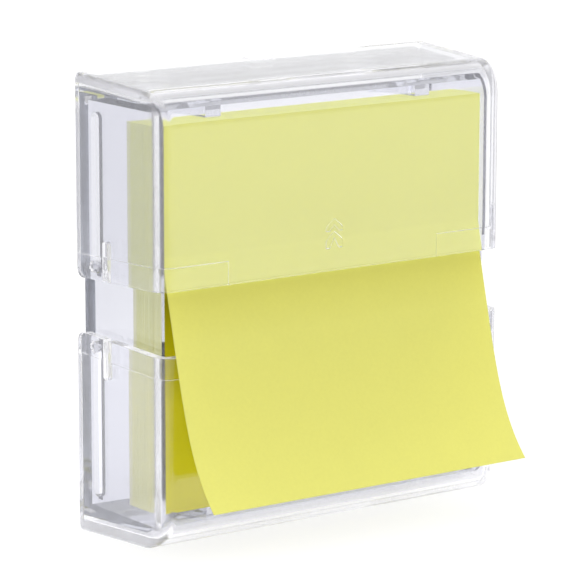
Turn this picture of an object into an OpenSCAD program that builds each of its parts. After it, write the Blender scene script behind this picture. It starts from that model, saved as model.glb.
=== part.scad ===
// Pop-up dispenser for square notes: two clear covers slide on a clear tray that holds the stack.
// Millimetres, Z up, front of the dispenser towards -Y, lowest edge at z = 0.
// The frame's origin lies under the centre of the box around the whole part.

/* [Notes] */
// side of the square notes
note_side = 76; // [50:1:127]
// thickness of the stack of notes
pad_thickness = 9.6; // [3:0.1:11.6]
// thickness of the note that is pulled out
sheet_thickness = 0.2; // [0.1:0.05:0.3]
// play between the notes and what holds them
note_play = 0.25; // [0.15:0.05:0.4]
// how far above the middle the pulled note leaves the stack
note_leave = 13; // [12:0.1:16]
// how far the curled end is short of the free length of the pulled note, in height
note_short = 3.8; // [3:0.1:6]
// lean of the pulled note where it leaves the stack, in degrees
note_tilt = 14.68; // [14.6:0.1:15.6]
// how far the curl carries its free end outward
note_curl = 5.2; // [2:0.1:8]

/* [Tray] */
// side wall of the tray at its front rim
tray_rim = 0.7; // [0.6:0.05:1]
// roof and floor of the tray at the front
tray_roof = 1.15; // [0.8:0.05:1.6]
// back wall of the tray
tray_back = 2.2; // [1.2:0.1:3]
// rounding of the tray's front corners, seen from the side
tray_corner = 4.5; // [3:0.1:5]
// how far the tray's rim stands in front of the stack
rim_ahead = 0.8; // [0.5:0.1:1.5]
// how far the tray's back stands out of the covers
tray_proud = 1; // [0:0.1:2]
// height of the ribs that centre the stack
rib_height = 2.35; // [1:0.05:3]
// width of a rib
rib_width = 3.6; // [2:0.1:6]
// distance between the two ribs of a row
rib_pitch = 50.4; // [24:0.2:60]

/* [Covers] */
// depth of a cover
cover_depth = 28.2; // [27:0.1:34]
// wall of a cover
cover_wall = 2.1; // [1.6:0.1:2.4]
// mould draft of covers and tray, in degrees
draft = 3; // [1:0.25:4]
// clearance between covers and tray at the sides
side_clearance = 0.36; // [0.3:0.02:0.6]
// clearance between covers and tray above and below
end_clearance = 0.86; // [0.5:0.02:1.2]
// gap between the tray's rim and the covers' fronts, where the note passes
pass_gap = 1.6; // [1.4:0.1:2]
// large rounding of a cover's front edge, seen from the side
front_radius = 7; // [5.5:0.1:9]
// rounding on the inside of the upright front corners
inner_corner = 1.2; // [0.6:0.1:1.6]
// rounding of the long edges that run front to back
edge_radius = 1; // [0.6:0.1:2]
// height of the slot between the two covers, halfway back
slot_height = 11.9; // [10:0.1:14]
// how far the slot lies above the middle
slot_raise = 0.2; // [0:0.05:0.4]
// tilt of the rims that face the slot, in degrees
rim_tilt = 2.05; // [0:0.05:3]
// rounding of the rims' back corners
rim_corner = 2; // [1:0.1:3]
// height of the thinned band inside the rims
relief_height = 4.5; // [3:0.1:6]
// depth of the thinned band
relief_depth = 0.25; // [0.15:0.05:0.4]
// half width of the front that keeps its full wall
relief_half_gap = 25.2; // [15:0.1:30]
// width of the notch in the middle of the open edge
notch_width = 6; // [3:0.1:10]
// depth of that notch
notch_depth = 2.6; // [1:0.1:4]

/* [Slides] */
// diameter of a guide pin
pin_diameter = 2.4; // [1.8:0.1:3]
// how far a pin reaches into the tray's wall
pin_reach = 1.2; // [0.8:0.05:1.6]
// pin centre in front of the covers' open edge
pin_inset = 4.6; // [4:0.1:6]
// pin centre above the rim it stands at
pin_rise = 2.45; // [2.2:0.05:4]
// clearance between a pin and its slot
pin_clearance = 0.2; // [0.15:0.05:0.3]
// gap left at the ends of the travel
stop_gap = 0.3; // [0.2:0.05:0.5]
// travel of each cover on the tray
travel = 28.9; // [20:0.1:29]
// width of the slit that frees the springy tongue
slit_width = 1.7; // [1:0.1:2.5]
// length of that slit, from the rim
slit_length = 8; // [6:0.1:12]
// middle of the slit in front of the open edge
slit_inset = 9.45; // [8.5:0.05:12]

/* [Hidden] */
$fn = 48;
taper = tan(draft);
back_y = cover_depth/2;
front_y = -cover_depth/2;
rim_y = front_y + cover_wall + pass_gap;
tray_end_y = back_y + tray_proud;
tray_half_w = note_side/2 + note_play + tray_rim;
well_half_w = note_side/2 + note_play;
well_half_h = note_side/2 + note_play + rib_height;
tray_half_h = well_half_h + tray_roof;
note_hang = note_side/2 + note_leave - note_short;
cover_half_w = tray_half_w + side_clearance + cover_wall - (rim_y - front_y)*taper;
cover_half_h = tray_half_h + end_clearance + cover_wall - (rim_y - front_y)*taper;
corner_r = cover_wall + inner_corner;
mid_z = cover_half_h + cover_depth*taper;
pad_front_y = rim_y + rim_ahead + sheet_thickness;
pin_y = back_y - pin_inset;
pin_z = slot_height/2 - pin_y*tan(rim_tilt) + pin_rise;
slot_w = pin_diameter + 2*pin_clearance;
note_end_y = pad_front_y - sheet_thickness - note_y(note_hang);
frame_y = -(note_end_y + tray_end_y)/2;
over = 0.01;

// Outward way of the pulled note at a depth u below the line where it leaves the stack.
function note_y(u) = u*tan(note_tilt) + note_curl*pow(u/note_hang, 5.5);

// Moves a piece from the dispenser's middle to the frame.
module place() {
  translate([0, frame_y, mid_z]) children();
}

// Draws a profile of depth and height across the whole width.
module across(width) {
  rotate([90, 0, 90]) linear_extrude(width, center = true) children();
}

// Cuts a convex corner of a side profile to a rounding: c its centre, a and b the tangent points,
// o a point beyond the corner.
module corner_cut(c, a, o, b, r) {
  difference() {
    polygon([c, a, o, b]);
    translate(c) circle(r = r);
  }
}

// Plan that rounds the upright front corners of the closed form below; a hair wider than it, so
// that the two cross instead of touching.
module cover_plan(inset, r, end_y) {
  yc = front_y + inset + r - over;
  xc = cover_half_w + (yc - front_y)*taper - (inset + r)/cos(draft) + over;
  far_x = cover_half_w + 4;
  far_y = front_y - 2;
  difference() {
    translate([-far_x, far_y]) square([2*far_x, end_y + 1 - far_y]);
    for (s = [0, 1]) mirror([s, 0])
      corner_cut([xc, yc], [xc, far_y - over], [far_x + over, far_y - over],
                 [far_x + over, yc - (far_x + over - xc)*taper], r);
  }
}

// Closed form of both covers together, wall by wall smaller by inset, up to the depth end_y.
// A thin lying ring at each front corner carries the large rounding.
module cover_form(inset, end_y) {
  grow = (end_y - front_y)*taper;
  side = inset/cos(draft);
  edge_r = max(edge_radius - inset, 0.4);
  lean = 1/cos(draft) - taper;
  intersection() {
    hull() {
      for (sx = [-1, 1], sz = [-1, 1]) {
        translate([sx*(cover_half_w + grow - side - edge_r), end_y,
                   sz*(cover_half_h + grow - side - edge_r)])
          rotate([90, 0, 0]) cylinder(r = edge_r, h = over, $fn = 24);
        translate([sx*(cover_half_w - (inset + edge_r)*lean), front_y + front_radius,
                   sz*(cover_half_h - front_radius*lean)])
          rotate([0, 90, 0]) rotate_extrude($fn = 72) translate([front_radius - inset - edge_r, 0])
            circle(r = edge_r, $fn = 24);
      }
    }
    linear_extrude(3*mid_z, center = true) cover_plan(inset, corner_r - inset, end_y);
  }
}

// Side view of what stays of an upper cover: everything above its tilted rim.
module rim_profile(shift) {
  slope = -tan(rim_tilt);
  z0 = slot_height/2 + shift;
  yc = back_y - rim_corner;
  zc = z0 + slope*yc + rim_corner/cos(rim_tilt);
  foot = [yc - rim_corner*sin(rim_tilt), zc - rim_corner*cos(rim_tilt)];
  difference() {
    polygon([[front_y - 1, z0 + slope*(front_y - 1)], [back_y, z0 + slope*back_y],
             [back_y, mid_z + 1], [front_y - 1, mid_z + 1]]);
    corner_cut([yc, zc], foot, [back_y + 1, z0 + slope*back_y - 1], [back_y + over, zc], rim_corner);
  }
}

// Thinned band inside the rim, round the sides and the front corners.
module rim_relief(shift) {
  slope = -tan(rim_tilt);
  z0 = slot_height/2 + shift;
  difference() {
    intersection() {
      cover_form(cover_wall - relief_depth, back_y + 2);
      across(3*cover_half_w) polygon([
        [front_y - 1, z0 + slope*(front_y - 1) - 1], [back_y + 3, z0 + slope*(back_y + 3) - 1],
        [back_y + 3, z0 + slope*(back_y + 3) + relief_height],
        [front_y - 1, z0 + slope*(front_y - 1) + relief_height]]);
    }
    translate([-relief_half_gap, front_y, 0]) cube([2*relief_half_gap, cover_wall + 1, mid_z]);
  }
}

// Slit beside the springy tongue, open at the rim, in both side walls.
module tongue_slits(shift) {
  y = back_y - slit_inset;
  z = slot_height/2 + shift - y*tan(rim_tilt);
  for (sx = [-1, 1]) {
    translate([sx*cover_half_w - 3*cover_wall, y - slit_width/2, z - 1])
      cube([6*cover_wall, slit_width, slit_length + 1 - slit_width/2]);
    translate([sx*cover_half_w - 3*cover_wall, y, z + slit_length - slit_width/2])
      rotate([0, 90, 0]) cylinder(d = slit_width, h = 6*cover_wall, $fn = 32);
  }
}

// Guide pins on the tongues, round with a low dome.
module guide_pins(shift) {
  face = cover_half_w + (pin_y - front_y)*taper - cover_wall;
  tip = tray_half_w + (pin_y - rim_y)*taper - pin_reach;
  for (sx = [-1, 1]) translate([sx*tip, pin_y, pin_z + shift]) rotate([0, sx*90, 0])
    intersection() {
      cylinder(d = pin_diameter, h = face - tip + cover_wall/2, $fn = 36);
      translate([0, 0, pin_diameter*1.1]) sphere(r = pin_diameter*1.1, $fn = 48);
    }
}

// One cover, drawn as the upper one; shift moves its rim and all that goes with it.
module cover(shift) {
  difference() {
    intersection() {
      cover_form(0, back_y + 1);
      across(3*cover_half_w) rim_profile(shift);
    }
    cover_form(cover_wall, back_y + 2);
    rim_relief(shift);
    tongue_slits(shift);
    translate([-notch_width/2, back_y - notch_depth, mid_z - 3*cover_wall])
      cube([notch_width, notch_depth + 1, 4*cover_wall]);
  }
  guide_pins(shift);
}

module upper_cover() {
  color([0.93, 0.94, 0.98, 0.3]) place() cover(slot_raise);
}

module lower_cover() {
  color([0.93, 0.94, 0.98, 0.3]) place() mirror([0, 0, 1]) cover(-slot_raise);
}

// Side view of the tray: drafted roof and floor, front corners rounded.
module tray_profile() {
  yc = rim_y + tray_corner;
  zc = tray_half_h + tray_corner*taper - tray_corner/cos(draft);
  top = [yc - tray_corner*sin(draft), zc + tray_corner*cos(draft)];
  end_h = tray_half_h + (tray_end_y - rim_y)*taper;
  difference() {
    polygon([[rim_y, -tray_half_h], [tray_end_y, -end_h], [tray_end_y, end_h], [rim_y, tray_half_h]]);
    for (s = [0, 1]) mirror([0, s])
      corner_cut([yc, zc], [rim_y - over, zc], [rim_y - 1, tray_half_h + 1], top, tray_corner);
  }
}

// Plan of the tray: side walls that widen towards the back.
module tray_plan() {
  end_w = tray_half_w + (tray_end_y - rim_y)*taper;
  polygon([[-tray_half_w, rim_y], [tray_half_w, rim_y], [end_w, tray_end_y], [-end_w, tray_end_y]]);
}

// Slot in a side wall that a guide pin runs in.
module guide_slot(z0, z1) {
  cut = 4*cover_wall;
  for (sx = [-1, 1]) translate([sx*tray_half_w - cut/2, pin_y, 0]) {
    for (z = [z0, z1]) translate([0, 0, z]) rotate([0, 90, 0]) cylinder(d = slot_w, h = cut);
    translate([0, -slot_w/2, z0]) cube([cut, slot_w, z1 - z0]);
  }
}

module tray() {
  ease = stop_gap - pin_clearance;
  color([0.9, 0.91, 0.95, 0.35]) place() {
    difference() {
      intersection() {
        across(3*tray_half_w) tray_profile();
        linear_extrude(4*tray_half_h, center = true) tray_plan();
      }
      translate([-well_half_w, rim_y - 1, -well_half_h])
        cube([2*well_half_w, tray_end_y - tray_back - rim_y + 1, 2*well_half_h]);
      guide_slot(pin_z + slot_raise - ease, pin_z + slot_raise + travel + ease);
      mirror([0, 0, 1]) guide_slot(pin_z - slot_raise - ease, pin_z - slot_raise + travel + ease);
    }
    for (sx = [-1, 1], sz = [0, 1]) mirror([0, 0, sz])
      translate([sx*rib_pitch/2 - rib_width/2, rim_y + tray_corner - 1, well_half_h - rib_height])
        cube([rib_width, tray_end_y - tray_back - rim_y - tray_corner + 1.2, rib_height + 0.3]);
  }
}

module note_pad() {
  color([0.84, 0.83, 0.35]) place()
    translate([-note_side/2, pad_front_y, -note_side/2]) cube([note_side, pad_thickness, note_side]);
}

// Front note of the stack: its top still lies on the stack, the rest comes out of the slot.
module pulled_note() {
  y0 = pad_front_y;
  z0 = note_leave;
  steps = 40;
  near = [for (i = [0:steps]) let(u = note_hang*i/steps) [y0 - note_y(u), z0 - u]];
  far = [for (i = [steps:-1:0]) let(u = note_hang*i/steps) [y0 - sheet_thickness - note_y(u), z0 - u]];
  color([0.89, 0.88, 0.44]) place() across(note_side)
    polygon(concat([[y0 - sheet_thickness, note_side/2], [y0, note_side/2]], near, far));
}

lower_cover();
tray();
note_pad();
pulled_note();
upper_cover();
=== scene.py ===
import math
import bpy
import numpy as np
from mathutils import Matrix, Vector


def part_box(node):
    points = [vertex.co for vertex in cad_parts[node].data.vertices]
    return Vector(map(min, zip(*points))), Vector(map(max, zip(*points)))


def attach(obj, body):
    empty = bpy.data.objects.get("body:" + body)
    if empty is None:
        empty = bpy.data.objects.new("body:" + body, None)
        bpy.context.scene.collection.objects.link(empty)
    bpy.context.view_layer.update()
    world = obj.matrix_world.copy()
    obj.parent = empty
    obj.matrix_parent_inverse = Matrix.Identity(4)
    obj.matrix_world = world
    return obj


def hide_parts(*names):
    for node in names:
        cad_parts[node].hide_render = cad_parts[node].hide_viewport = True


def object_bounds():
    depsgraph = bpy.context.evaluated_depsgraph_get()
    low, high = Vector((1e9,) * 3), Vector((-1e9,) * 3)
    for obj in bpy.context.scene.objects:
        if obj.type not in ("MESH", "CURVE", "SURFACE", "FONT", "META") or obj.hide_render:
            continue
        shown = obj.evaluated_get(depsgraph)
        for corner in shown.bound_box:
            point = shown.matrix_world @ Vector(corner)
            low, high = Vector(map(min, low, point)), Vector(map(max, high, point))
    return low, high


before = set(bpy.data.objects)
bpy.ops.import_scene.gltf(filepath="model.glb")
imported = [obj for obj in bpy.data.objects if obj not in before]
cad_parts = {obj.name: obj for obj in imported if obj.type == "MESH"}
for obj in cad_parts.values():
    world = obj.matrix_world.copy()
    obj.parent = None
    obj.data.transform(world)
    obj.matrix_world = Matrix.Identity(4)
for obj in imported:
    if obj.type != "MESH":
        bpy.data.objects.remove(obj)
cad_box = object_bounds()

# Camera: a long lens over half a metre away, a tenth of a turn round to the dispenser's left
# and a little above its middle, so that its front, one side and a sliver of its top show.
turn, dip, roll = math.radians(35.16), math.radians(11.61), math.radians(0.095)
back = Vector((-math.sin(turn) * math.cos(dip), -math.cos(turn) * math.cos(dip), math.sin(dip)))
across = Vector((math.cos(turn), -math.sin(turn), 0.0))
upward = back.cross(across)
right = across * math.cos(roll) + upward * math.sin(roll)
top = upward * math.cos(roll) - across * math.sin(roll)
camera_data = bpy.data.cameras.new("camera")
camera_data.sensor_width = 36.0
camera_data.lens = 204.83
camera_data.clip_start = 0.05
camera = bpy.data.objects.new("camera", camera_data)
camera.matrix_world = Matrix.Translation((-0.371783, -0.518856, 0.178839)) @ Matrix(
    (right, top, back)).transposed().to_4x4()
scene = bpy.context.scene
scene.collection.objects.link(camera)
scene.camera = camera
scene.view_settings.view_transform = "Standard"
scene.cycles.max_bounces = 80
scene.cycles.glossy_bounces = 64
scene.cycles.transmission_bounces = 32
scene.cycles.transparent_max_bounces = 24


# Studio: a white room on a pale floor, with a wide soft lamp at the upper right. What the lens
# sees straight, or only through the plastic, is pure white. What a face of the plastic mirrors
# is a greyer room and floor, which draws its edges. The lamps light the matt faces.
class Wire:
    """A socket of a node tree that takes part in sums: an expression on wires adds Math nodes."""

    def __init__(self, tree, socket):
        self.tree, self.socket = tree, socket

    def sum(self, operation, *others):
        return node(self.tree, "ShaderNodeMath", {"operation": operation}, [self, *others])

    def __add__(self, other): return self.sum("ADD", other)
    def __radd__(self, other): return self.sum("ADD", other)
    def __sub__(self, other): return self.sum("SUBTRACT", other)
    def __rsub__(self, other): return self.sum("MULTIPLY", -1.0).sum("ADD", other)
    def __mul__(self, other): return self.sum("MULTIPLY", other)
    def __rmul__(self, other): return self.sum("MULTIPLY", other)
    def __pow__(self, other): return self.sum("POWER", other)


def node(tree, kind, settings=None, values=None, out=0):
    """Adds one node: its settings first (a ramp's as "stops"), then the values or wires of its
    sockets, by place or by name, and gives back the wire of its output."""
    made = tree.nodes.new(kind)
    for name, value in (settings or {}).items():
        if name == "stops":
            ramp = made.color_ramp
            while len(ramp.elements) < len(value):
                ramp.elements.new(0.5)
            for element, (at, colour) in zip(ramp.elements, value):
                element.position, element.color = at, colour
        else:
            setattr(made, name, value)
    pairs = values.items() if isinstance(values, dict) else enumerate(values or [])
    for name, value in pairs:
        if isinstance(value, Wire):
            tree.links.new(value.socket, made.inputs[name])
        else:
            made.inputs[name].default_value = value
    return Wire(tree, made.outputs[out]) if len(made.outputs) else None


def axis(vector, letter):
    """One of the three numbers of a vector's wire."""
    return node(vector.tree, "ShaderNodeSeparateXYZ", values=[vector], out=letter)


def slide(wire, start, end, low=0.0, high=1.0, shape="SMOOTHSTEP"):
    """low where the wire is at start, high where it is at end, and held beyond them."""
    return node(wire.tree, "ShaderNodeMapRange", {"interpolation_type": shape},
                [wire, start, end, low, high])


def layered(share, under, over):
    """Two finishes mixed by a share, which is a wire."""
    return node(share.tree, "ShaderNodeMixShader", values={0: share, 1: under, 2: over})


def ray_kinds(tree):
    """Two wires: 1 on what the lens sees straight or only through plastic, and 1 on every ray
    that plastic has mirrored or bent."""
    from_lens, bent, gloss, mirrors = (node(tree, "ShaderNodeLightPath", out=name) for name in (
        "Is Camera Ray", "Is Transmission Ray", "Is Glossy Ray", "Glossy Depth"))
    straight = from_lens.sum("MAXIMUM", bent * (1 - mirrors.sum("MINIMUM", 1.0)))
    return straight, gloss.sum("MAXIMUM", bent)


world = bpy.data.worlds.new("white_room")
scene.world = world
world.use_nodes = True
sky = world.node_tree
sky.nodes.clear()
way = node(sky, "ShaderNodeTexCoord", out="Generated")


def glow_towards(direction, sharpness):
    """A soft round patch of light in that direction: the cosine to it, to a power."""
    length = math.sqrt(sum(d * d for d in direction))
    cosine = node(sky, "ShaderNodeVectorMath", {"operation": "DOT_PRODUCT"}, {
        0: way, 1: tuple(d / length for d in direction)}, out="Value")
    return cosine.sum("MAXIMUM", 0.0) ** sharpness


even_light, mirrored_grey = 0.44, 0.68
soft_lamp = glow_towards((0.62, -0.64, 0.62), 14.0) * 6.2
side_lamp = glow_towards((-1.0, 0.6, 0.35), 6.0) * 2.1
ceiling = glow_towards((0.0, 0.2, 1.0), 3.0) * 1.1
dark_side = glow_towards((-0.7, -0.7, 0.1), 1.2) * 0.42
light = even_light + soft_lamp + side_lamp + ceiling - dark_side
height = axis(way, "Z")
wall_light = (1 - height * height) ** 2
mirrored_room = mirrored_grey + wall_light * 0.46 + soft_lamp * 0.12
straight, polished = ray_kinds(sky)
mirrored_share = polished * (1 - straight)
strength = straight + mirrored_share * mirrored_room + (1 - straight) * (1 - mirrored_share) * light
room = node(sky, "ShaderNodeBackground", values={"Color": (1, 1, 1, 1), "Strength": strength})
node(sky, "ShaderNodeOutputWorld", values={"Surface": room})


def finish_of(name):
    """An empty material and its tree."""
    material = bpy.data.materials.new(name)
    material.use_nodes = True
    material.node_tree.nodes.clear()
    return material, material.node_tree


floor_half = 3.0
floor_mesh = bpy.data.meshes.new("floor")
floor_mesh.from_pydata([(-floor_half, -floor_half, 0), (floor_half, -floor_half, 0),
                        (floor_half, floor_half, 0), (-floor_half, floor_half, 0)],
                       [], [(0, 1, 2, 3)])
floor = bpy.data.objects.new("floor", floor_mesh)
scene.collection.objects.link(floor)
floor_finish, tree = finish_of("floor_white")


def matt(grey):
    """Matt grey of the floor."""
    return node(tree, "ShaderNodeBsdfDiffuse", values={"Color": (grey, grey, grey, 1)})


def glow(strength, colour=(1, 1, 1, 1)):
    """Even light from the floor itself."""
    return node(tree, "ShaderNodeEmission", values={"Color": colour, "Strength": strength})


# where the mirrored floor is brighter or darker, in metres from the dispenser's middle
spot = node(tree, "ShaderNodeTexCoord", out="Object")
beside, ahead = axis(spot, "X"), axis(spot, "Y")
away = node(tree, "ShaderNodeVectorMath", {"operation": "LENGTH"}, [spot], out="Value")
in_front = slide(ahead, -0.03, -0.13)
to_the_right = slide(beside, -0.03, 0.06)
to_the_left = slide(beside, -0.02, -0.07)
close_by = slide(away, 0.05, 0.09, 1.0, 0.0) * (to_the_left * 0.5 + 0.3)
behind = slide(ahead, 0.0, 0.05, 0.0, 0.5) * slide(ahead, 0.13, 0.24, 1.0, 0.0) * to_the_left
bright = (in_front * to_the_right).sum("MAXIMUM", close_by).sum("MAXIMUM", behind)
far_right = slide(ahead, 0.02, 0.08) * slide(beside, 0.03, 0.08)
mirrored_glow = layered(bright, layered(far_right, glow(0.66), glow(0.18, (0.93, 0.93, 1, 1))),
                        glow(1.45, (0.97, 0.97, 1, 1)))
mirrored = node(tree, "ShaderNodeAddShader", values=[matt(0.3), mirrored_glow])
seen_white = node(tree, "ShaderNodeAddShader", values=[matt(0.18), glow(0.86)])
lighting = layered(in_front * 0.45, matt(0.8), glow(1.6))
straight, polished = ray_kinds(tree)
node(tree, "ShaderNodeOutputMaterial", values={
    "Surface": layered(straight, layered(polished, lighting, mirrored), seen_white)})
floor_mesh.materials.append(floor_finish)


# Tray: the inner box that carries the notes, injection-moulded in one piece of clear crystal
# styrene. It is open at the front, has four ribs that centre the stack, and two slots in each
# side wall, cut by slides in the mould, in which the covers' pins run.
middle_z = (cad_box[0][2] + cad_box[1][2]) / 2
tray_inside = 0.0383
slot_y, slot_half_width, slot_z, slot_half_length = 0.01553, 0.00153, 0.0225, 0.01615


def seen(code):
    """Linear colour of a colour written as it looks on a screen, rrggbb."""
    parts = [int(code[i:i + 2], 16) / 255 for i in (0, 2, 4)]
    return tuple(p / 12.92 if p < 0.04045 else ((p + 0.055) / 1.055) ** 2.4 for p in parts) + (1.0,)


def tinted(share, first, second, blend="MIX"):
    """Two colours mixed by a share, which is a wire."""
    return node(share.tree, "ShaderNodeMix", {"data_type": "RGBA", "blend_type": blend}, {
        "Factor": share, 6: first, 7: second}, out=2)


def noise(place, scale, detail, roughness=0.5):
    """Soft random pattern of about scale waves to the metre, with finer ones laid over it."""
    return node(place.tree, "ShaderNodeTexNoise", values={
        "Vector": place, "Scale": scale, "Detail": detail, "Roughness": roughness})


def clear_plastic(name, tint, depth_tint, density, waviness, slots=False, corner=None):
    """Refracting plastic with a fine waviness in its gloss. depth_tint and density darken the
    light that runs a long way inside a wall, as along the back of the tray. slots paints the
    front wall of each slot a mostly opaque grey, a painted shade for the dark line the clear wall
    shows there. corner makes the upright front corners rougher and paints them a paler tint, a
    painted light, from its first |x| and y on, in full at the second ones."""
    material, tree = finish_of(name)
    place = node(tree, "ShaderNodeTexCoord", out="Object")
    x, y, z = (axis(place, letter) for letter in "XYZ")
    wave = node(tree, "ShaderNodeBump", values={
        "Strength": waviness, "Distance": 0.0004, "Height": noise(place, 60.0, 2.0)})
    rough = slide(noise(place, 900.0, 3.0), 0.35, 0.75, 0.015, 0.045, "LINEAR")
    if corner:
        x_start, x_full, y_start, y_full = corner
        # painted light: the front upright corners get a paler tint, as well as more roughness
        soft = slide(x.sum("ABSOLUTE"), x_start, x_full) * slide(y, y_start, y_full)
        rough = rough + soft * 0.15
        tint = tinted(soft, tint, (0.97, 0.965, 1, 1))
    plastic = node(tree, "ShaderNodeBsdfPrincipled", values={
        "Base Color": tint, "Transmission Weight": 1.0, "IOR": 1.58, "Roughness": rough,
        "Normal": wave})
    # painted shade: the front wall of each slot turns a mostly opaque grey
    if slots:
        from_slot_middle = ((z - middle_z).sum("ABSOLUTE") - slot_z).sum("ABSOLUTE")
        cut = (x.sum("ABSOLUTE").sum("GREATER_THAN", tray_inside)
               * (y - slot_y).sum("ABSOLUTE").sum("LESS_THAN", slot_half_width)
               * y.sum("LESS_THAN", slot_y)
               * from_slot_middle.sum("LESS_THAN", slot_half_length))
        painted_shade_grey = node(tree, "ShaderNodeBsdfPrincipled", values={
            "Base Color": seen("74747E"), "Roughness": rough, "Normal": wave})
        plastic = layered(cut * 0.95, plastic, painted_shade_grey)
    shadow, spread = (node(tree, "ShaderNodeLightPath", out=ray) for ray in (
        "Is Shadow Ray", "Is Diffuse Ray"))
    clear = node(tree, "ShaderNodeBsdfTransparent", values={"Color": (0.945, 0.945, 0.955, 1)})
    passing = layered(shadow.sum("MAXIMUM", spread), plastic, clear)
    body = node(tree, "ShaderNodeVolumeAbsorption", values={
        "Color": depth_tint, "Density": density})
    node(tree, "ShaderNodeOutputMaterial", values={"Surface": passing, "Volume": body})
    return material


def soften(piece, width):
    """Breaks a moulded piece's sharp edges with a narrow rounding and shades its curves."""
    for name, kind, settings in (
            ("weld", "WELD", {"merge_threshold": 1e-6}),
            ("flat", "DECIMATE", {"decimate_type": "DISSOLVE",
                                  "angle_limit": math.radians(0.3)}),
            ("edge", "BEVEL", {"width": width, "segments": 2, "limit_method": "ANGLE",
                               "angle_limit": math.radians(35), "use_clamp_overlap": True}),
            ("shade", "WEIGHTED_NORMAL", {"keep_sharp": False})):
        step = piece.modifiers.new(name, kind)
        for key, value in settings.items():
            setattr(step, key, value)
    for face in piece.data.polygons:
        face.use_smooth = True


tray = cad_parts["tray"]
tray.data.materials.clear()
tray.data.materials.append(clear_plastic(
    "tray_clear", tint=(0.87, 0.873, 0.914, 1), depth_tint=(0.5, 0.515, 0.548, 1), density=30.0,
    waviness=0.1, slots=True))
soften(tray, 0.00012)


# Covers: two halves of a drafted box, injection-moulded in clear crystal styrene with a wall of
# 2.1 mm, open at the back and at the slot. Each slides up and down on the tray, held by a springy
# tongue with a guide pin in either side wall. The upper one is drawn; the lower one is its mirror.
draft = math.tan(math.radians(3.0))
lean = math.cos(math.radians(3.0))
rim_slope = math.tan(math.radians(2.05))
# sizes in millimetres from the middle of the dispenser, which in_frame takes to its place
cover_front, cover_back = -14.1, 14.1
cover_half_w, cover_half_h, wall = 41.2161, 44.5161, 2.1
front_radius, corner_radius, edge_radius, least_radius = 7.0, 3.3, 1.0, 0.4
slit_centre, slit_half, slit_top, slit_rows = cover_back - 9.45, 0.85, 7.15, 12
relief_depth, relief_start, relief_rows = 0.25, 25.2, 8
rim_corner, rim_corner_reach = 2.0, 5.0
notch_cells, notch_start = 2, 11.4
tray_half_w, tray_front, pin_reach = 38.95, -10.4, 1.2
seat_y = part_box("upper_cover")[1][1] * 1000 - cover_back
seat_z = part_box("upper_cover")[1][2] * 1000 / 2


def in_frame(points):
    """Points in millimetres from the dispenser's middle, turned into metres in the frame."""
    return (points + [0, seat_y, seat_z]) / 1000


def mesh_of(name, points, faces):
    """Mesh of points in the frame and of faces, each a row of point numbers."""
    mesh = bpy.data.meshes.new(name)
    mesh.from_pydata(points.tolist(), [], faces.tolist())
    mesh.update()
    return mesh


def cells(number):
    """Quads of a lattice of point numbers, one for each cell."""
    return np.stack([number[:-1, :-1], number[1:, :-1], number[1:, 1:], number[:-1, 1:]], -1)


def open_edges(quads, total):
    """Edges of the quads that no other quad runs along the other way."""
    edges = np.stack([quads, np.roll(quads, -1, 1)], -1).reshape(-1, 2)
    ahead, behind = edges[:, 0] * total + edges[:, 1], edges[:, 1] * total + edges[:, 0]
    return edges[~np.isin(ahead, behind)]


def turns(radius, start, steps):
    """Distances from a sharp edge that give even turns on its rounding, beyond start: a point at
    distance d from the edge lands where the arc has turned by atan((r - d) / r)."""
    angles = np.linspace(math.atan((radius - start) / radius), 0, steps + 1)
    return radius * (1 - np.tan(angles[0 if start == 0 else 1:]))


def rounded(a, b, radius):
    """Signed distance to two faces that meet in a convex arc of that radius."""
    return (np.hypot(np.maximum(a + radius, 0), np.maximum(b + radius, 0)) - radius
            + np.minimum(np.maximum(a, b) + radius, 0))


def cover_distance(p, inset):
    """Signed distance to the closed box form, its walls moved in by inset. Front and top meet in
    front_radius. Their edge towards the sides is rounded by corner_radius along the front, which
    turns into edge_radius along the top."""
    x, y, z = p
    grow = (y - cover_front) * draft
    side = (np.abs(x) - cover_half_w - grow) * lean + inset
    lid = (z - cover_half_h - grow) * lean + inset
    front = cover_front - y + inset
    big = front_radius - inset
    turned = np.arctan2(np.maximum(lid + big, 0), np.maximum(front + big, 1e-9)) / (math.pi / 2)
    turned = turned * turned * (3 - 2 * turned)
    small = ((corner_radius - inset) * (1 - turned)
             + np.maximum(edge_radius - inset, least_radius) * turned)
    return rounded(side, rounded(front, lid, big), small)


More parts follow.
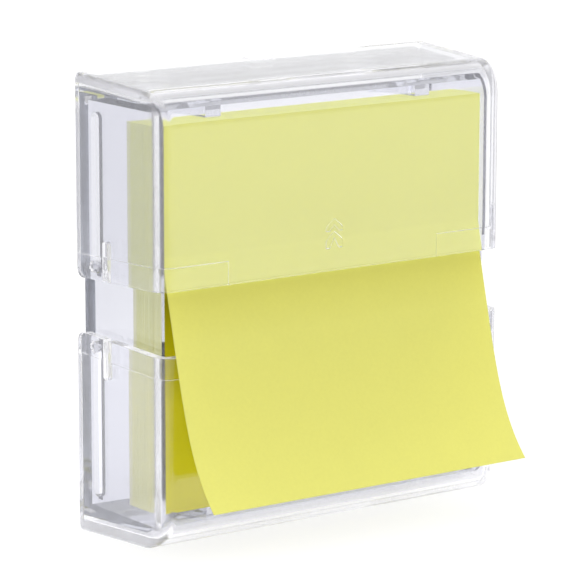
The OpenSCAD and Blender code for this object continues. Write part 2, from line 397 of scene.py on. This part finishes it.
def cover_lattice(inner, rim_middle):
    """Points (x, y, z) of one face of a cover's wall on the lattice i, j, k: i runs from left to
    right, j from front to back and k from the rim to the top. They are laid on the sharp box, and
    those off the rounded form then slide onto it along the slope of its distance."""
    inset = wall * inner
    corner, big = corner_radius - inset, front_radius - inset
    edge = max(edge_radius - inset, least_radius)
    near_side = np.concatenate([turns(edge, 0, 4), turns(corner, edge, 4)])
    near_front = np.concatenate([turns(corner, 0, 5), turns(big, corner, 5)])
    near_lid = np.concatenate([turns(edge, 0, 4), turns(big, edge, 6)])
    # lines of the lattice in millimetres: out from the middle, in depth and up from the rim
    middle = np.array([35, 31, 27.5, 25.25, 25.15, 21, 17, 13, 9, 6, 3, 1.5])
    slit = slit_centre - slit_half * np.cos(np.linspace(0, math.pi, 9))
    depths = np.concatenate([
        cover_front + inset + near_front, [-5.5, -3.5, -1.2, 1.2, 2.8], slit,
        [6.4, 7.4, 8.4, 9.5, 10.6, 11.5, 12.1, 12.5, 12.9, 13.3, 13.7, cover_back]])
    rows = np.array([0, .4, .8, 1.2, 1.6, 2, 2.6, 3.4, 4.47, 4.53, 5.4, 6.3, slit_top,
                     7.7, 8.4, 9.4, 11, 13.5, 16.5, 20, 23.5, 27])
    n_x, n_y, n_z = 2 * (len(near_side) + len(middle)) + 1, len(depths), len(rows) + len(near_lid)
    y, k = np.meshgrid(depths, np.arange(n_z), indexing="ij")
    rim = rim_middle - rim_slope * y
    high = cover_half_h + (y - cover_front) * draft - inset / lean
    column = np.concatenate([rows, near_lid[::-1]])[k]
    z = np.where(k < len(rows), rim + column, high - column)
    # the rim's back corner: each line at a distance from both edges turns by an arc of its own
    a, b = cover_back - y, z - rim
    m = np.minimum(a, b)
    r = np.maximum(rim_corner * (1 - m / rim_corner_reach), 1e-6)
    u, v = a - m - r, b - m - r
    bent = (m < rim_corner_reach) & (a - m < r) & (b - m < r)
    shrink = np.where(bent, r / np.maximum(np.hypot(u, v), 1e-9), 1)
    y, z = (np.where(bent, cover_back - m - r - u * shrink, y),
            np.where(bent, rim + m + r + v * shrink, z))
    # the round end of the slit lifts the rows above it, less and less
    swell_height = 6.35
    swell = slit_half * np.sqrt(np.clip(1 - ((y - slit_centre) / slit_half) ** 2, 0, 1))
    z = z + np.where(k >= slit_rows, swell * np.clip(1 - (column - slit_top) / swell_height, 0, 1)
                     * (k < len(rows)), 0)
    half = cover_half_w + (y - cover_front) * draft - inset / lean
    edge_lines = half[None] - near_side[:, None, None]
    centre_lines = np.broadcast_to(middle[:, None, None], (len(middle),) + half.shape)
    right_half = np.concatenate([edge_lines, centre_lines])
    x = np.concatenate([-right_half, np.zeros((1,) + half.shape), right_half[::-1]])
    y, z = np.broadcast_to(y, x.shape).copy(), np.broadcast_to(z, x.shape).copy()
    depth = np.full(x.shape, inset)
    if inner:
        relieved = (np.arange(n_z)[None, None] <= relief_rows) & (np.abs(x) > relief_start)
        depth = depth - relief_depth * relieved
    last = y >= cover_back - 1e-6
    low = np.broadcast_to(np.arange(n_z) == 0, x.shape)
    kept_y, kept_z = y.copy(), z.copy()
    p = np.stack([x, y, z])
    small_step = 1e-4
    for _ in range(12):
        f = cover_distance(p, depth)
        slope = np.stack([(cover_distance(p + h[:, None, None, None], depth)
                           - cover_distance(p - h[:, None, None, None], depth))
                          / (2 * small_step) for h in np.eye(3) * small_step])
        p = p - f * slope / np.maximum((slope ** 2).sum(0), 1e-9)
    p[1] = np.where(last, kept_y, p[1])
    p[2] = np.where(low, kept_z + rim_slope * (kept_y - p[1]), p[2])
    return p


def cover_mesh(name, rim_middle, turned_over):
    """Closed quad mesh of a cover: its outer and inner lattice, joined along every open edge.
    Slits in both sides and the notch in the top are cells left out."""
    sheets = [cover_lattice(inner, rim_middle) for inner in (0, 1)]
    n_x, n_y, n_z = sheets[0].shape[1:]
    number = np.arange(n_x * n_y * n_z).reshape(n_x, n_y, n_z)
    total = number.size
    depths = sheets[0][1][0, :, -1]
    in_slit = ((depths[:-1] > slit_centre - slit_half - 0.01)
               & (depths[1:] < slit_centre + slit_half + 0.01))
    side_kept = ~(in_slit[:, None] & (np.arange(n_z - 1) < slit_rows)[None])
    middle = np.abs(np.arange(n_x - 1) - (n_x - 2) / 2) < notch_cells
    top_kept = ~(middle[:, None] & (depths[:-1] > notch_start)[None])
    quads = np.concatenate([
        cells(number[:, 0, :]).reshape(-1, 4),
        cells(number[0])[side_kept][:, ::-1],
        cells(number[-1])[side_kept],
        cells(number[:, :, -1])[top_kept]])
    free = open_edges(quads, total)
    joint = np.concatenate([free[:, ::-1], free + total], 1)
    faces = np.concatenate([quads, quads[:, ::-1] + total, joint])
    points = np.concatenate([s.reshape(3, -1).T for s in sheets])
    used, faces = np.unique(faces, return_inverse=True)
    points, faces = points[used], faces.reshape(-1, 4)
    if turned_over:
        points = points * [1, 1, -1]
        faces = faces[:, ::-1]
    return mesh_of(name, in_frame(points), faces)


def turned_pin(points_along, centre, side):
    """Points and quads turned about a line along X: each profile point (x, r) makes a ring of
    count points, and the two end rings are a hair wide."""
    count = 32
    x, r = np.array(points_along).T
    angle = np.linspace(0, 2 * math.pi, count + 1)[:-1]
    rings = np.stack([np.broadcast_to(side * x[:, None], (len(x), count)),
                      centre[0] + r[:, None] * np.cos(angle),
                      centre[1] + r[:, None] * np.sin(angle)], -1)
    start, n = (np.arange(len(x) - 1) * count)[:, None], np.arange(count)
    first, after = start + n, start + (n + 1) % count
    quads = np.stack([first, after, after + count, first + count], -1).reshape(-1, 4)
    return rings.reshape(-1, 3), quads if side < 0 else quads[:, ::-1]


def joined(name, parts):
    """One mesh from several (points, quads)."""
    starts = np.cumsum([0] + [len(points) for points, _ in parts[:-1]])
    faces = np.concatenate([np.array(quads) + start
                            for (_, quads), start in zip(parts, starts)])
    return mesh_of(name, in_frame(np.concatenate([points for points, _ in parts])), faces)


def grown_on(mesh, extra):
    """The mesh with the form extra united to it."""
    base = bpy.data.objects.new("base", mesh)
    tool = bpy.data.objects.new("tool", extra)
    for thing in (base, tool):
        scene.collection.objects.link(thing)
    step = base.modifiers.new("unite", "BOOLEAN")
    step.operation, step.object, step.solver = "UNION", tool, "EXACT"
    bpy.context.view_layer.update()
    dressed = base.evaluated_get(bpy.context.evaluated_depsgraph_get())
    result = bpy.data.meshes.new_from_object(dressed)
    for thing in (base, tool):
        bpy.data.objects.remove(thing)
    return result


def pins(rim_middle, flip):
    """Two guide pins, 2.4 mm thick with a low dome, rooted in the side walls and reaching
    pin_reach into the slots of the tray."""
    radius, dome, rooted, blended, hair = 1.2, 2.64, 0.9, 0.3, 0.001
    inset, rise = 4.6, 2.45
    y = cover_back - inset
    z = rim_middle - y * rim_slope + rise
    face = cover_half_w + (y - cover_front) * draft - wall
    tip = tray_half_w + (y - tray_front) * draft - pin_reach
    bend = np.linspace(0.02, math.asin(radius / dome), 8)
    profile = [(tip + dome * (1 - math.cos(b)), dome * math.sin(b)) for b in bend]
    profile = ([(tip, hair)] + profile
               + [(face - blended, radius), (face + rooted, radius), (face + rooted, hair)])
    return [turned_pin(profile, (y, z * flip), side) for side in (-1, 1)]


def push_mark():
    """Two stacked arrow heads, raised by 0.2 mm on the inside of the upper cover's front, where a
    finger pushes it up. Each is an outline of ten points, drawn out along the depth and a little
    narrower at its free face."""
    heads = []
    inside, rooted, raised = cover_front + wall, 0.3, 0.2
    for top, tall in ((16.9, 2.6), (14.3, 3.4)):
        half = np.array([(0, 0), (1.75, -1.45), (2.1, -2.1), (2.1, -tall), (1.15, -tall),
                         (0, -1.25)])
        outline = np.concatenate([half, half[4:0:-1] * [-1, 1]]) + [0, top]
        middle = np.array([0, top - 1.4])
        narrower = middle + (outline - middle) * [0.93, 0.92]
        count = len(outline)
        rings = [np.stack([o[:, 0], np.full(count, y), o[:, 1]], 1)
                 for y, o in ((inside - rooted, outline), (inside, outline),
                              (inside + raised, narrower))]
        n = np.arange(count)
        after = (n + 1) % count
        sides = [np.stack([n + count * k, after + count * k, after + count * (k + 1),
                           n + count * (k + 1)], 1) for k in (0, 1)]
        cap = [[0, 1, 2, 5], [2, 3, 4, 5], [0, 5, 8, 9], [5, 6, 7, 8]]
        faces = (np.concatenate(sides).tolist() + [quad[::-1] for quad in cap]
                 + [[corner + 2 * count for corner in quad] for quad in cap])
        heads.append((np.concatenate(rings), faces))
    return heads


# front upright corners of the covers, made rougher and painted paler: a painted light
rough_and_painted_pale_corner = (0.0378, 0.0392, (seat_y - 8.6) / 1000, (seat_y - 10.6) / 1000)
broken_edge = 0.00018
cover_clear = clear_plastic(
    "cover_clear", tint=(0.908, 0.909, 0.938, 1), depth_tint=(0.5, 0.505, 0.62, 1), density=1.5,
    waviness=0.05, corner=rough_and_painted_pale_corner)
for name, rim_middle, flip in (("upper_cover", 6.15, 1), ("lower_cover", 5.75, -1)):
    shell = cover_mesh(name + "_shell", rim_middle, flip < 0)
    shell = grown_on(shell, joined("pins", pins(rim_middle, flip)))
    if flip > 0:
        shell = grown_on(shell, joined("push_mark", push_mark()))
    shell.materials.clear()
    shell.materials.append(cover_clear)
    cover = bpy.data.objects.new(name + "_shell", shell)
    scene.collection.objects.link(cover)
    for face in shell.polygons:
        face.use_smooth = True
    edge = cover.modifiers.new("edge", "BEVEL")
    edge.width, edge.segments = broken_edge, 2
    edge.limit_method, edge.angle_limit = "ANGLE", math.radians(50)
    cover.modifiers.new("shade", "WEIGHTED_NORMAL").keep_sharp = False
    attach(cover, name + "_body")
    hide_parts(name)


# Stack: ninety-six square notes of pale yellow paper, 76 mm wide, on a pale backing sheet, cut
# together on a guillotine and held by a soft glue strip along one edge of each. It stands
# loosely between the tray's ribs, and its front lies in the shade of the pulled note, which is
# painted into its colour, with painted light below it.
def note_paper(name, face_colours, cut_colour, let_through=0.0, fade=None):
    """Matt uncoated paper: a short fibre in its colour and surface, and on the cut sides of a
    stack the thin lines between the sheets, which run across the depth. face_colours lists
    (height above the dispenser's middle in millimetres, colour) from low to high: the paper's own
    yellow, with painted shade and painted light by height laid into it. Over the depth of fade the
    cut sides turn into the backing sheet's pale card."""
    material, tree = finish_of(name)
    place = node(tree, "ShaderNodeTexCoord", out="Object")
    depth = axis(place, "Y")
    cloud = noise(place, 160.0, 3.0)
    fibre = noise(place, 1400.0, 4.0, 0.65)
    fleck = slide(fibre * 0.75 + cloud * 0.25, 0.35, 0.65, shape="LINEAR")
    lowest, highest = face_colours[0][0], face_colours[-1][0]
    risen = slide(axis(place, "Z"), (seat_z + lowest) / 1000, (seat_z + highest) / 1000,
                  shape="LINEAR")
    # colour by height: the paper's yellow with painted shade and painted light laid into it
    colour_with_painted_shade = node(tree, "ShaderNodeValToRGB", {"stops": [
        ((z - lowest) / (highest - lowest), seen(code)) for z, code in face_colours]}, [risen])
    face = tinted(1 - fleck, colour_with_painted_shade, (0.955, 0.955, 0.955, 1), "MULTIPLY")
    stretched = node(tree, "ShaderNodeMapping", values={
        "Vector": place, "Scale": (30.0, 9000.0, 30.0)})
    lines = slide(noise(stretched, 1.0, 2.0), 0.35, 0.65, shape="LINEAR")
    line_share = 0.86
    darker = tuple(c * line_share for c in cut_colour[:3]) + (1.0,)
    cut = tinted(lines, darker, cut_colour)
    turned = axis(node(tree, "ShaderNodeTexCoord", out="Normal"), "Y")
    flat = turned.sum("ABSOLUTE").sum("GREATER_THAN", 0.5)
    if fade:
        backing = seen("EFEEE6")
        cut = tinted(slide(depth, fade[0], fade[1], 0.0, 0.85, "LINEAR"), cut, backing)
        face = tinted(depth.sum("GREATER_THAN", fade[1] - 0.0001), face, backing)
    colour = tinted(flat, cut, face)
    relief = fibre * flat + lines * (1 - flat) * 1.6
    rise = node(tree, "ShaderNodeBump", values={
        "Strength": 0.35, "Distance": 0.00003, "Height": relief})
    paper = node(tree, "ShaderNodeBsdfPrincipled", values={
        "Base Color": colour, "Roughness": 0.9, "Specular IOR Level": 0.25, "Normal": rise})
    if let_through:
        through = node(tree, "ShaderNodeBsdfTranslucent", values={
            "Color": (0.95, 0.92, 0.4, 1), "Normal": rise})
        paper = node(tree, "ShaderNodeMixShader", values={0: let_through, 1: paper, 2: through})
    node(tree, "ShaderNodeOutputMaterial", values={"Surface": paper})
    return material


low, high = [np.array(corner) * 1000 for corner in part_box("note_pad")]
backing_fade = 1.5


def stack_mesh():
    """Stack of sheets as one closed quad mesh. A square lattice is the front and the back; round
    them, each pair of sheets is a band of its own, set in or out by up to 0.06 mm, with a fine
    groove to the next one."""
    count, split, groove_half, groove_depth = 48, 12, 0.03, 0.035
    least_in, in_spread, sway_step, front_share = 0.012, 0.016, 0.006, 0.9993
    line = np.linspace(0, 1, split + 1)
    u, v = np.meshgrid(line, line, indexing="ij")
    ring = np.concatenate([np.stack([line[:-1], 0 * line[:-1]], 1),
                           np.stack([0 * line[:-1] + 1, line[:-1]], 1),
                           np.stack([1 - line[:-1], 0 * line[:-1] + 1], 1),
                           np.stack([0 * line[:-1], 1 - line[:-1]], 1)])
    chance = np.random.default_rng(7)
    depth = np.linspace(low[1], high[1], count + 1)
    set_in = least_in + np.abs(chance.normal(0, in_spread, (count, 2)))
    sway = np.cumsum(chance.normal(0, sway_step, (count, 2)), 0)
    sway -= sway.mean(0)
    rings, size = [], np.array([high[0] - low[0], high[2] - low[2]])
    middle = [(low[0] + high[0]) / 2, (low[2] + high[2]) / 2]
    for n in range(count):
        for y, extra in ((depth[n] + groove_half, 0.0), (depth[n + 1] - groove_half, 0.0),
                         (depth[n + 1], groove_depth)):
            shrink = 1 - 2 * (set_in[n] + np.abs(sway[n]) + extra) / size
            flat = (ring - 0.5) * shrink * size + sway[n] + middle
            rings.append(np.stack([flat[:, 0], np.full(len(ring), y), flat[:, 1]], 1))
    first = rings[0].copy()
    first[:, 1] = low[1]
    centre = first[:, [0, 2]].mean(0)
    first[:, [0, 2]] = (first[:, [0, 2]] - centre) * front_share + centre
    rings = [first] + rings[:-1]
    tail = rings[-1].copy()
    tail[:, 1] = high[1]
    rings.append(tail)
    points = np.concatenate(rings)
    n_ring, n_inner = len(ring), (split - 1) ** 2
    start, n = (np.arange(len(rings) - 1) * n_ring)[:, None], np.arange(n_ring)
    base, after = start + n, start + (n + 1) % n_ring
    sides = np.stack([base, after, after + n_ring, base + n_ring], -1).reshape(-1, 4)

    def cap(edge_ring, ring_start, inner_start):
        """Points inside a ring, and the quads of a lattice whose border is that ring."""
        number = np.full((split + 1, split + 1), -1)
        at = np.round(ring * split).astype(int)
        number[at[:, 0], at[:, 1]] = ring_start + np.arange(n_ring)
        inside = number < 0
        number[inside] = inner_start + np.arange(n_inner)
        corner, far = edge_ring[0], edge_ring[2 * split]
        spot = np.stack([corner[0] + (far[0] - corner[0]) * u[inside],
                         np.full(n_inner, edge_ring[0, 1]),
                         corner[2] + (far[2] - corner[2]) * v[inside]], 1)
        return spot, cells(number).reshape(-1, 4)

    front_spots, front = cap(rings[0], 0, len(points))
    back_spots, rear = cap(rings[-1], (len(rings) - 1) * n_ring, len(points) + n_inner)
    points = np.concatenate([points, front_spots, back_spots]) / 1000
    return mesh_of("note_stack", points, np.concatenate([sides[:, ::-1], front, rear[:, ::-1]]))


stack = bpy.data.objects.new("note_stack", stack_mesh())
# painted shade of the pulled note on the stack's front, darkest and deepest yellow at 4 mm above
# the middle, and painted light below it, brightest at -16 mm
stack.data.materials.append(note_paper(
    "note_paper", [(-16, "FFF612"), (4, "ACA508"), (9, "EAEC50"), (38, "EAEC50")],
    seen("E4E7A0"), fade=((high[1] - backing_fade) / 1000, high[1] / 1000)))
scene.collection.objects.link(stack)
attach(stack, "tray_body")
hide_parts("note_pad")


# Pulled note: the front sheet of the stack. Its top third still lies on the stack; the rest
# comes out of the slot over the lower cover's rim and curls outward, as a note just pulled does.
def pulled_sheet(leaves, peel, thick):
    """Closed thin quad mesh of the sheet. Down each column the free part leaves the stack at z =
    leaves and stands out by slope u + reach (u / drop)^power at a depth u below that, with reach
    and power a little different at the left and the right and a low wave across the lower half,
    and it is cut off where its own length of 76 mm ends."""
    columns, flat_rows, free_rows = 49, 10, 60
    side, width, shift, slope, drop, wave = 76.0, 75.9, -0.25, 0.25, 47.6, 0.08
    share = np.linspace(0, 1, columns)
    fine = np.linspace(0, side - peel, 2001)
    reach, power = np.linspace(6.1, 6.06, columns), np.linspace(6.3, 6.2, columns)
    out = slope * fine[:, None] + reach * (fine[:, None] / drop) ** power
    lower_part = np.clip(fine[:, None] / 47 - 0.45, 0, 1)
    out = out + wave * np.sin(share * math.pi * 3.1 + 0.6) * lower_part
    length = np.concatenate([np.zeros((1, columns)),
                             np.cumsum(np.hypot(np.diff(out, axis=0), np.diff(fine)[:, None]), 0)])
    want = np.linspace(0, side - peel, free_rows + 1)
    u = np.stack([np.interp(want, length[:, c], fine) for c in range(columns)], 1)
    y_out = np.stack([np.interp(want, length[:, c], out[:, c]) for c in range(columns)], 1)
    above = np.linspace(0, peel, flat_rows + 1)[:-1]
    lying = np.broadcast_to((leaves + peel - above)[:, None], (flat_rows, columns))
    z = np.concatenate([lying, leaves - u])
    y = np.concatenate([np.zeros((flat_rows, columns)), -y_out])
    x = np.broadcast_to((share - 0.5) * width + shift, y.shape)
    lift = 0.02
    sheets = [np.stack([x, y + low[1] - seat_y - gap, z], -1) for gap in (lift, lift + thick)]
    number = np.arange(y.size).reshape(y.shape)
    total = number.size
    quads = cells(number).reshape(-1, 4)
    free = open_edges(quads, total)
    rim = np.concatenate([free, free[:, ::-1] + total], 1)
    points = in_frame(np.concatenate([s.reshape(-1, 3) for s in sheets]))
    return mesh_of("pulled_sheet", points, np.concatenate([quads[:, ::-1], quads + total, rim]))


sheet = bpy.data.objects.new("pulled_sheet", pulled_sheet(leaves=13.0, peel=25.0, thick=0.12))
# painted shade just under the upper cover's rim, darkest at 5 mm, and painted light from 7 mm up,
# where the sheet lies on the stack and its see-through share loses light
sheet.data.materials.append(note_paper(
    "pulled_paper",
    [(-40, "EAE987"), (-20, "E9E886"), (-4, "E7E683"), (5, "DEDC72"), (7, "F0F27E"),
     (38, "F4F67E")],
    seen("D9DB7C"), let_through=0.38))
scene.collection.objects.link(sheet)
for face in sheet.data.polygons:
    face.use_smooth = True
sheet.modifiers.new("shade", "WEIGHTED_NORMAL").keep_sharp = False
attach(sheet, "tray_body")
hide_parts("pulled_note")
